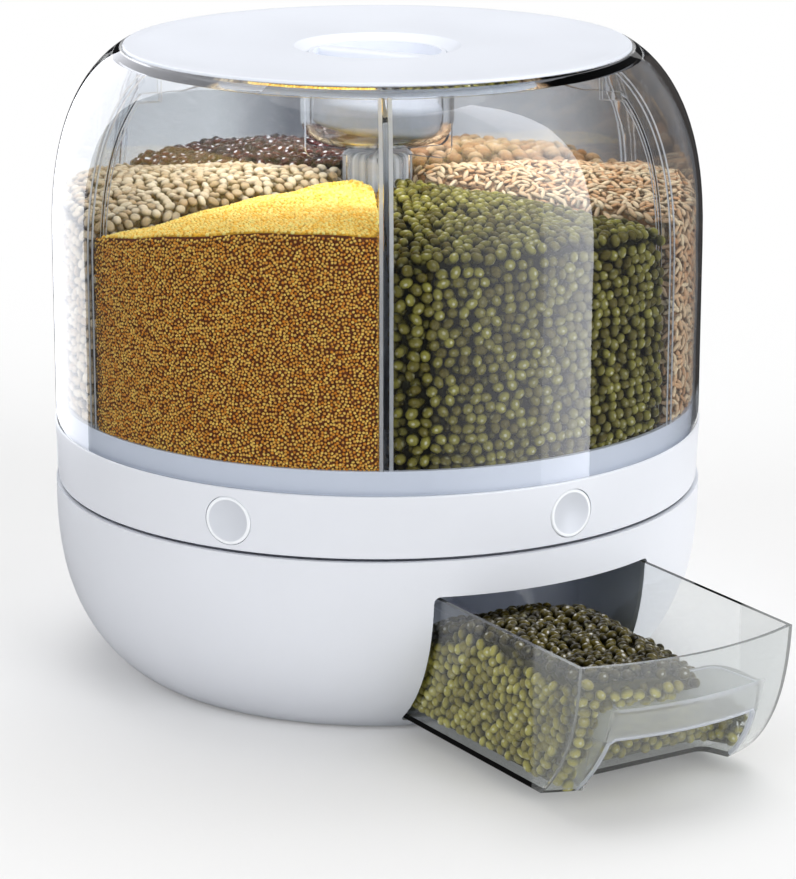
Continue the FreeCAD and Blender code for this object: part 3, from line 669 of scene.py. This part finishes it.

# %% [markdown]
# ## Grain: the kernels
# Grain is contents, so it has no place in the frame, and thousands of kernels make each heap.
# Each kernel is modelled once: an icosphere of a few dozen faces, stretched to the size of the
# seed and pulled where the seed has its own form. Two numbers are stored on its points: one
# marks the scar, and one tells how high a point rises over the heap. From it the material paints
# the lower half of a kernel darker, a painted shade for the dark between its neighbours, and its
# highest point white, a painted glint in place of the one a polished bean has. The material
# colours them all.

# %% Kernels
speckle_size = 1.2
shade_cell = 2.5
glint_range = (0.88, 0.96)   # how high on a kernel its glint starts and is full
shadow_range = (-0.3, 0.9)   # and where the dark between kernels is deepest and has gone


def make_kernel(name, length, width, thickness, material, faces=2, beak=0.0, crease=0.0):
    bpy.ops.object.select_all(action="DESELECT")
    bpy.ops.mesh.primitive_ico_sphere_add(subdivisions=faces, radius=0.5, location=(0, 0, 0))
    kernel = bpy.context.object
    kernel.name = name
    bpy.ops.object.mode_set(mode="EDIT")
    bpy.ops.transform.resize(value=(length * mm, width * mm, thickness * mm))
    bpy.ops.object.mode_set(mode="OBJECT")
    mark = kernel.data.attributes.new("mark", "FLOAT", "POINT")
    rise = kernel.data.attributes.new("rise", "FLOAT", "POINT")
    for i, vertex in enumerate(kernel.data.vertices):
        along = vertex.co.x / (0.5 * length * mm)
        side = vertex.co.y / (0.5 * width * mm)
        over = vertex.co.z / (0.5 * thickness * mm)
        if along > 0.6:
            vertex.co.x *= 1.0 + beak
            vertex.co.y *= 1.0 - beak
        if crease and over > 0.55:
            vertex.co.z *= 1.0 - crease * (1.0 - min(abs(side) * 3.0, 1.0))
        mark.data[i].value = 1.0 if side > 0.93 else 0.0
        rise.data[i].value = over
    bpy.ops.object.shade_smooth()
    kernel.data.materials.append(material)
    return kernel


def make_seed_skin(name, dark, light, mark_colour, roughness, shadow, glint):
    material, tree = new_material(name)
    rise = stored(tree, "rise")
    speckles = add(tree, "ShaderNodeMath", {"operation": "MULTIPLY_ADD"},
                   {0: noise_of(tree, speckle_size * mm), 1: 0.5, 2: -0.25})
    share = compute(tree, "ADD", speckles.outputs[0], stored(tree, "tone"), clamp=True)
    tint = blend(tree, share, linear(dark), linear(light))
    marked = blend(tree, stored(tree, "mark"), tint, linear(mark_colour))
    # painted highlight: the highest point of each kernel is mixed towards white, a painted glint
    top = ramp(tree, rise, *glint_range, 0.0, glint)
    lit = blend(tree, product(tree, top, share), marked, linear("#FFFFFF"))
    # painted shade: the lower half of a kernel is darkened, and a kernel of the second layer to half as
    # well
    lower_half_shade = ramp(tree, rise, *shadow_range, shadow, 1.0)
    painted_shade = product(tree, lower_half_shade, stored(tree, "depth"))
    shaded = add(tree, "ShaderNodeVectorMath", {"operation": "SCALE"}, {0: lit, "Scale": painted_shade})
    skin = add(tree, "ShaderNodeBsdfPrincipled", {},
               {"Base Color": shaded.outputs[0], "Roughness": roughness, "IOR": 1.45})
    finish_material(tree, skin.outputs[0])
    return material


def make_shade(name, colour):
    material, tree = new_material(name)
    # painted shade: the body is coloured dark as the shade between kernels, and darker still away from
    # the middle of each lump
    lumps = add(tree, "ShaderNodeTexVoronoi", {},
                {"Vector": position(tree), "Scale": 1 / (shade_cell * mm)})
    tint = blend(tree, lumps.outputs["Distance"], linear(colour), linear(colour, 0.45))
    skin = add(tree, "ShaderNodeBsdfPrincipled", {}, {"Base Color": tint, "Roughness": 0.9})
    finish_material(tree, skin.outputs[0])
    return material


# each kind: length, width and thickness of a kernel and the distance between kernels in mm, how
# finely it is cut, its darkest and lightest colour, the colour of its scar and of the body below,
# which is painted darker than the kernels as the shade between them; shadow sets how dark the
# painted shade under a kernel gets and glint how strong its painted highlight is
kinds = {
    "millet": dict(size=(1.75, 1.6, 1.55), spacing=1.30, faces=1, dark="#DE860E", light="#FFD464",
                   mark="#FBD66A", shade="#74380A", roughness=0.5, shadow=0.14),
    # the millet's top heap is a lighter copy of the millet, painted light where the top is lit
    "millet_top": dict(size=(2.1, 1.9, 1.8), spacing=1.5, faces=1, dark="#FFC430", light="#FFF090",
                       mark="#FFF0A0", shade="#F0B428", roughness=0.5, shadow=0.85),
    "mung": dict(size=(6.3, 5.2, 4.9), spacing=4.4, faces=2, dark="#544A10", light="#8C8636",
                 mark="#D8D4A8", shade="#242208", roughness=0.3, shadow=0.25, glint=0.35),
    # the drawer's mung is a lighter copy of the mung, painted light on the drawer's sides, and the shaded
    # mung a darker copy, painted shade on the beans under the bowl's edge
    "drawer_mung": dict(size=(6.2, 5.2, 4.9), spacing=4.4, faces=2, dark="#827624", light="#C4BA54",
                        mark="#D8D4A8", shade="#4A4416", roughness=0.3, shadow=0.25, glint=0.5),
    "shaded_mung": dict(size=(6.2, 5.2, 4.9), spacing=4.4, faces=2, dark="#241E04", light="#5A5016",
                        mark="#D8D4A8", shade="#120F03", roughness=0.3, shadow=0.2, glint=0.6),
    "rice": dict(size=(6.8, 2.4, 2.2), spacing=3.4, faces=2, dark="#DAA26E", light="#F8E0B8",
                 mark="#F2E0C2", shade="#A87A50", roughness=0.4, shadow=0.4),
    "chickpea": dict(size=(9.0, 8.2, 7.9), spacing=7.4, faces=2, dark="#A67242", light="#CFAC7E",
                     mark="#F0DDBE", shade="#6A4424", beak=0.12, roughness=0.45, shadow=0.25,
                     glint=0.3),
    "red_bean": dict(size=(7.4, 5.4, 5.0), spacing=5.0, faces=2, dark="#2E0C0A", light="#5E221E",
                     mark="#E8E0D8", shade="#1A0806", roughness=0.14, glint=1.6),
    "barley": dict(size=(6.0, 4.5, 4.0), spacing=4.0, faces=2, dark="#C0A47E", light="#ECDCBE",
                   mark="#F6EEDD", shade="#6A5236", crease=0.35, roughness=0.5, shadow=0.3),
}
kernels = {}
coarse = {}
shades = {}
for kind, facts in kinds.items():
    skin = make_seed_skin(kind + "_skin", facts["dark"], facts["light"], facts["mark"],
                          facts["roughness"], facts.get("shadow", 0.08), facts.get("glint", 0.0))
    kernels[kind] = make_kernel(kind + "_kernel", *facts["size"], skin, facts["faces"],
                                facts.get("beak", 0.0), facts.get("crease", 0.0))
    coarse[kind] = make_kernel(kind + "_coarse", *facts["size"], skin, 1)
    shades[kind] = make_shade(kind + "_shade", facts["shade"])
    print(kind, len(kernels[kind].data.polygons), "faces")

# %% [markdown]
# ## Grain: scattering kernels on a heap
# Placing thousands of kernels by hand is hopeless, so a geometry node modifier does it: it
# drops points on the marked faces of a heap, no two closer than a kernel is wide, lays a kernel
# on each with a random turn, and stores a random tone for its colour. The first layer lies on
# top, lifted by more than half a kernel, and a second one half in the heap fills the gaps; its
# kernels are marked to be painted at half brightness, a painted shade for lying deeper. The
# modifier is applied, so the result is a plain mesh.

# %% Scattering
crowding = 12.0              # points tried for each one that stays
smallest = (0.82, 0.84, 0.9)
largest = (1.1, 1.1, 1.0)


def scatter_tree(name, layer_kernels, spacing, seed, lean, lift):
    tree = bpy.data.node_groups.new(name, "GeometryNodeTree")
    tree.interface.new_socket("Geometry", in_out="INPUT", socket_type="NodeSocketGeometry")
    tree.interface.new_socket("Geometry", in_out="OUTPUT", socket_type="NodeSocketGeometry")
    start = add(tree, "NodeGroupInput")
    faces = add(tree, "GeometryNodeInputNamedAttribute", {"data_type": "BOOLEAN"}, {"Name": "crop"})
    join = add(tree, "GeometryNodeJoinGeometry")
    for layer, kernel in enumerate(layer_kernels):
        shape = add(tree, "GeometryNodeObjectInfo", {}, {"Object": kernel})
        points = add(tree, "GeometryNodeDistributePointsOnFaces", {"distribute_method": "POISSON"},
                     {"Mesh": start.outputs[0], "Selection": faces.outputs[0],
                      "Distance Min": spacing * mm, "Density Max": crowding / (spacing * mm) ** 2,
                      "Seed": seed + layer})
        out = add(tree, "ShaderNodeVectorMath", {"operation": "SCALE"},
                  {0: points.outputs["Normal"], "Scale": (len(layer_kernels) - 1 - layer) * lift * mm})
        moved = add(tree, "GeometryNodeSetPosition", {},
                    {"Geometry": points.outputs["Points"], "Offset": out.outputs[0]})
        turn = add(tree, "FunctionNodeRandomValue", {"data_type": "FLOAT_VECTOR"},
                   {0: (-lean, -lean, 0.0), 1: (lean, lean, 2 * math.pi), "Seed": seed + 10 + layer})
        turn = add(tree, "FunctionNodeEulerToRotation", {}, {0: turn.outputs[0]})
        turn = add(tree, "FunctionNodeRotateRotation", {"rotation_space": "LOCAL"},
                   {"Rotation": points.outputs["Rotation"], "Rotate By": turn.outputs[0]})
        grow = add(tree, "FunctionNodeRandomValue", {"data_type": "FLOAT_VECTOR"},
                   {0: smallest, 1: largest, "Seed": seed + 20 + layer})
        laid = add(tree, "GeometryNodeInstanceOnPoints", {},
                   {"Points": moved.outputs[0], "Instance": shape.outputs["Geometry"],
                    "Rotation": turn.outputs[0], "Scale": grow.outputs[0]})
        tone = add(tree, "FunctionNodeRandomValue", {"data_type": "FLOAT"}, {"Seed": seed + 30 + layer})
        toned = add(tree, "GeometryNodeStoreNamedAttribute", {"data_type": "FLOAT", "domain": "INSTANCE"},
                    {"Geometry": laid.outputs[0], "Name": "tone", "Value": tone.outputs[1]})
        # painted shade: a kernel of the second layer is marked to be painted at half brightness
        toned = add(tree, "GeometryNodeStoreNamedAttribute", {"data_type": "FLOAT", "domain": "INSTANCE"},
                    {"Geometry": toned.outputs[0], "Name": "depth", "Value": 1.0 if layer == 0 else 0.5})
        real = add(tree, "GeometryNodeRealizeInstances", {}, {0: toned.outputs[0]})
        tree.links.new(real.outputs[0], join.inputs[0])
    tree.links.new(start.outputs[0], join.inputs[0])
    add(tree, "NodeGroupOutput", {}, {0: join.outputs[0]})
    return tree


def scatter(heap, layer_kernels, spacing, seed, lean=0.35, lift=2.0):
    modifier = heap.modifiers.new("kernels", "NODES")
    modifier.node_group = scatter_tree(heap.name + "_tree", layer_kernels, spacing, seed, lean, lift)
    only(heap)
    bpy.ops.object.modifier_apply(modifier=modifier.name)
    heap.data.calc_loop_triangles()
    print(heap.name, len(heap.data.loop_triangles), "triangles")


print("scattering ready")

# %% [markdown]
# ## Grain: a heap in a compartment
# Below its kernels a heap is one closed body. It starts as a cube with many cuts, whose three
# directions stand for the way outward, round and up, and its points are then moved to where the
# heap really ends: the clear wall outside, the column inside, the dividers at both sides, the
# floor below, and above it the slope that poured grain takes. Wall and floor are found by rays
# against the frame, so the heap follows the real curves of the dome and the trough. The millet
# has two heaps, one for its wall and one for its top, whose kernels are painted lighter, painted
# light where the top is lit, and the body of each keeps a little behind the other's kernels.

# %% Heaps in the drum
compartment_angle = 60.0
panel_half = 1.15
fork_half = 3.15
fork_start = 149.0
shelf_top = 128.5
mid_height = 185.0
floor_edge = 151.0
layer_lift = 0.5
trough_level = 114.0
column_radius = 17.5
seat_gap = 0.35
heap_line = [(20, 243.0), (70, 243.0), (100, 240.5), (125, 237.5), (150, 235.5)]
# how much more than heap_line a heap has at the wall's left end and right end, and at the column
millet_tilt = (-5.7, 10.5, -3.5)
heap_tilts = {"millet": millet_tilt, "millet_top": millet_tilt, "mung": (-2.0, -2.0, -2.0)}
heap_crown = 4.0
heap_ripple = 1.6
body_gap = 0.8
wall_band = 0.9              # kernels lie on a side from here to the wall
top_band = 0.88              # and from here to the top
heap_cuts = 21
barrel = nodes["grain_barrel"]
bin_floor = nodes["bin_floor"]
wall_radii = {}


def wall_radius(height, reach):
    level = round(max(height, shelf_top) * 2) / 2
    if (level, reach) not in wall_radii:
        found = []
        for dz in (-reach, 0.0, reach):
            for piece in (barrel, bin_floor):
                start = Vector((60 * mm, 0, max(level + dz, shelf_top) * mm))
                hit, spot, _, _ = piece.ray_cast(start, (1, 0, 0))
                if hit:
                    found.append(spot.x / mm)
        wall_radii[level, reach] = min(found)
    return wall_radii[level, reach]


def floor_height(radius, angle):
    hit, spot, _, _ = bin_floor.ray_cast(place(radius * mm, angle, 200 * mm), (0, 0, -1))
    return max(spot.z / mm, trough_level) if hit else trough_level


def heap_height(radius, angle, share, seed, tilt):
    hill = heap_crown * (1.0 - share * share)
    ripple = noise.noise(Vector((radius / 22.0, angle / 9.0, seed))) * heap_ripple
    at_left, at_right, at_column = tilt
    at_wall = at_left + (at_right - at_left) * 0.5 * (share + 1.0)
    more = at_column + (at_wall - at_column) * smooth_step(column_radius, 150.0, radius)
    return between(heap_line, radius) + hill + ripple + more


def cut_cube(name, cuts):
    bpy.ops.object.select_all(action="DESELECT")
    bpy.ops.mesh.primitive_cube_add(size=1.0, location=(0, 0, 0))
    cube = bpy.context.object
    cube.name = name
    bpy.ops.object.mode_set(mode="EDIT")
    bpy.ops.mesh.select_all(action="SELECT")
    bpy.ops.mesh.subdivide(number_cuts=cuts)
    bpy.ops.object.mode_set(mode="OBJECT")
    return cube


def make_heap(name, kind, middle, seed, crop_wall, crop_top, lift):
    half_grain = 0.5 * kinds[kind]["size"][2]
    heap = cut_cube(name, heap_cuts)
    sheet = [(v.co.x + 0.5, 2.0 * v.co.y, v.co.z + 0.5) for v in heap.data.vertices]
    crop = heap.data.attributes.new("crop", "BOOLEAN", "FACE")
    for i, face in enumerate(heap.data.polygons):
        corners = [sheet[v] for v in face.vertices]
        at_wall = all(c[0] > 0.999 for c in corners)
        at_side = all(abs(c[1]) > 0.999 and (c[0] > wall_band or c[2] > top_band) for c in corners)
        on_top = all(c[2] > 0.999 for c in corners)
        crop.data[i].value = (crop_wall and (at_wall or at_side)) or (crop_top and on_top)
    margin = seat_gap + half_grain + lift + (0.0 if crop_wall else body_gap)
    sink = 0.0 if crop_top else body_gap
    tilt = heap_tilts.get(kind, (0.0, 0.0, 0.0))
    near = column_radius + margin
    for vertex, (share_r, share_u, share_z) in zip(heap.data.vertices, sheet):
        angle = middle + share_u * 0.5 * compartment_angle
        reach = wall_radius(mid_height, half_grain) - margin
        radius = near + share_r * (reach - near)
        low = floor_height(min(radius, floor_edge), angle) + margin
        high = heap_height(radius, angle, share_u, seed, tilt) - half_grain - lift - sink
        height = low + share_z * (high - low)
        wall = wall_radius(height, half_grain) - margin
        radius = near + share_r * (wall - near)
        side = panel_half + (fork_half - panel_half) * smooth_step(fork_start - 3, fork_start, radius)
        inset = math.degrees(math.asin((side + margin - 0.3 * half_grain) / radius))
        angle = middle + share_u * (0.5 * compartment_angle - inset)
        vertex.co = place(radius * mm, angle, height * mm)
    bpy.ops.object.shade_smooth()
    heap.data.materials.append(shades[kind])
    return heap


def fill_compartment(name, kind, number, crop_wall=True, crop_top=True):
    facts = kinds[kind]
    layers = [kernels[kind]] if kind.startswith("millet") else [kernels[kind], coarse[kind]]
    lift = (len(layers) - 1) * layer_lift * facts["size"][2]
    heap = make_heap(name, kind, number * compartment_angle, number * 3.7, crop_wall, crop_top, lift)
    scatter(heap, layers, facts["spacing"], 11 + number, lift=lift)
    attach(heap, "drum")


for i, kind in enumerate(["mung", "rice", "chickpea", "red_bean", "barley"]):
    fill_compartment(kind + "_heap", kind, i)
fill_compartment("millet_heap", "millet", 5, crop_top=False)
fill_compartment("millet_top", "millet_top", 5, crop_wall=False)

# %% [markdown]
# ## Grain: the drawer
# Mung beans fill the drawer to its rim on the left, slope down to the right wall, and fall away
# to the back, where they came out of the chute. The body under them is another cube with many
# cuts. Rays towards the front find the drawer's curved wall and the finger pocket, so the beans
# lie round the pocket as real ones do. The beans at the walls are painted lighter than those in
# the drum, painted light on the drawer's sides. The beans on top lie under the bowl's edge and
# are painted darker, a painted shade, so they are a heap of their own, as with the millet.

# %% Beans in the drawer
drawer = nodes["grain_drawer"]
drawer_low, drawer_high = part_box("grain_drawer")
drawer_wall = 2.2
bean_cuts = 38
front_line = -drawer_low.y / mm
back_line = -drawer_high.y / mm + drawer_wall
side_line = drawer_high.x / mm - drawer_wall
floor_line = 10.2
bean_line = 70.0
right_slope = 0.62
back_slope = 0.345
back_start = 176.0


def drawer_front(x, z, margin):
    nearest = front_line
    for dx in (-0.5 * margin, 0.0, 0.5 * margin):
        for dz in (-0.5 * margin, 0.0, 0.5 * margin):
            start = ((x + dx) * mm, -(back_line + 20) * mm, (z + dz) * mm)
            hit, spot, _, _ = drawer.ray_cast(start, (0, -1, 0))
            if hit:
                nearest = min(nearest, -spot.y / mm)
    return nearest - margin


# the flat part of the beans ends at a line that runs from x = 5 at the bowl to x = -12 at the
# front; from there they slope down to the right, and behind the bowl's wall to the back
def bean_height(x, out):
    edge = 5.0 - 17.0 * (out - 170.0) / 97.0
    right = right_slope * max(x - edge, 0.0)
    back = back_slope * max(back_start - out, 0.0)
    ripple = noise.noise(Vector((x / 14.0, out / 14.0, 5.0))) * 2.0
    return min(bean_line - right - back + ripple, bean_line + 1.0)


def make_drawer_beans(name, kind, on_top):
    lift = layer_lift * kinds[kind]["size"][2]
    half = 0.5 * kinds[kind]["size"][2] + seat_gap + lift
    inset = body_gap if on_top else 0.0
    sink = 0.0 if on_top else body_gap
    heap = cut_cube(name, bean_cuts)
    crop = heap.data.attributes.new("crop", "BOOLEAN", "FACE")
    for i, face in enumerate(heap.data.polygons):
        corners = [heap.data.vertices[v].co for v in face.vertices]
        is_top = all(c.z > 0.499 for c in corners)
        is_floor = all(c.z < -0.499 for c in corners)
        crop.data[i].value = is_top if on_top else not (is_top or is_floor)
    for vertex in heap.data.vertices:
        share_y, share_z = 0.5 - vertex.co.y, vertex.co.z + 0.5
        x = vertex.co.x * 2.0 * (side_line - half - inset)
        start = back_line + half + inset
        out = start + share_y * (front_line - drawer_wall - half - start)
        low = floor_line + 1.3
        height = low + share_z * (bean_height(x, out) - half - sink - low)
        front = drawer_front(x, min(height, bean_line + 1.5), half + inset)
        vertex.co = Vector((x, -(start + share_y * (front - start)), height)) * mm
    bpy.ops.object.shade_smooth()
    heap.data.materials.append(shades[kind])
    scatter(heap, [kernels[kind], coarse[kind]], kinds[kind]["spacing"], 41, lean=0.6, lift=lift)
    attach(heap, "drawer")


# the walls in the lighter copy, painted light, and the top in the darker copy, painted shade
make_drawer_beans("drawer_mung_heap", "drawer_mung", False)
make_drawer_beans("drawer_mung_top", "shaded_mung", True)

# %% [markdown]
# ## Rolled edges of the drawer's grip
# The finger opening has a rolled edge, so that nobody cuts a finger on it: up one leg, along
# the lower edge of the grip and down the other leg. The grip's flat top has a softer one all
# round. Both catch the light as pale lines. Each is a curve through points found on the drawer
# itself by rays, given a round section and turned into a mesh.

# %% Rolled edges
def front_face(x, z):
    hit, spot, _, _ = drawer.ray_cast((x * mm, -300 * mm, z * mm), (0, 1, 0))
    return -spot.y / mm


def rolled_edge(name, points, thick, closed):
    bpy.ops.object.select_all(action="DESELECT")
    bpy.ops.curve.primitive_nurbs_path_add(location=(0, 0, 0))
    edge = bpy.context.object
    edge.name = name
    edge.data.splines.clear()
    line = edge.data.splines.new("POLY")
    line.points.add(len(points) - 1)
    for spot, (x, out, z) in zip(line.points, points):
        spot.co = (x * mm, -out * mm, z * mm, 1.0)
    line.use_cyclic_u = closed
    edge.data.bevel_depth = thick * mm
    edge.data.bevel_resolution = 3
    edge.data.use_fill_caps = not closed
    bpy.ops.object.convert(target="MESH")
    edge = bpy.context.object
    bpy.ops.object.mode_set(mode="EDIT")
    bpy.ops.mesh.select_all(action="SELECT")
    bpy.ops.mesh.remove_doubles(threshold=0.00001)
    bpy.ops.mesh.normals_make_consistent(inside=False)
    bpy.ops.object.mode_set(mode="OBJECT")
    bpy.ops.object.shade_smooth()
    edge.data.materials.append(clear_edge)
    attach(edge, "drawer")
    print(name, len(edge.data.polygons), "faces")
    return edge


grip_low = 37.5
grip_top = 52.2
leg_low = 9.5
half_low = 42.3
half_high = 39.0
half_top = 37.0
grip_back = [(34.0, 240.0), (31.0, 237.2), (0.0, 236.4), (-31.0, 237.2), (-34.0, 240.0)]
lip = 1.15
top_lip = 0.7


def make_grip_edges():
    left = []
    for i in range(9):
        z = leg_low + (grip_low - 2.0 - leg_low) * i / 8
        x = -(half_low + (half_high - half_low) * i / 8) - 0.6
        left.append((x, front_face(x - 1.0, z) - lip, z))
    bar = []
    for i in range(25):
        x = (half_high - 1.6) * (i / 12 - 1)
        bar.append((x, front_face(x, grip_low + 1.0) - lip, grip_low + 0.4))
    right = [(-x, out, z) for x, out, z in reversed(left)]
    rolled_edge("grip_lower_edge", left + bar + right, lip, False)
    top = []
    for i in range(25):
        x = half_top * (i / 12 - 1)
        top.append((x, front_face(x, grip_top) - 2.6, grip_top - 0.3))
    back = [(x, out, grip_top - 0.3) for x, out in grip_back]
    rolled_edge("grip_upper_edge", top + back, top_lip, True)


make_grip_edges()

# %% [markdown]
# ## Putting the single kernels away
# The kernels that were modelled have done their work: every heap now holds its own copies. They
# are removed, so that no loose seed is left standing at the origin.

# %% Put the single kernels away
for kernel in list(kernels.values()) + list(coarse.values()):
    bpy.data.objects.remove(kernel)
print("kernels removed")

# %% [markdown]
# ## Render settings that belong to the scene
# The colours are read as plain sRGB, with no film look. Clear plastic behind clear plastic
# needs many bounces before a ray is through.

# %% Colour and bounces
scene = bpy.context.scene
scene.view_settings.view_transform = "Standard"
scene.cycles.max_bounces = 24
scene.cycles.transmission_bounces = 24
scene.cycles.transparent_max_bounces = 32
scene.cycles.caustics_reflective = False
scene.cycles.caustics_refractive = False
print("view", scene.view_settings.view_transform, "bounces", scene.cycles.max_bounces)
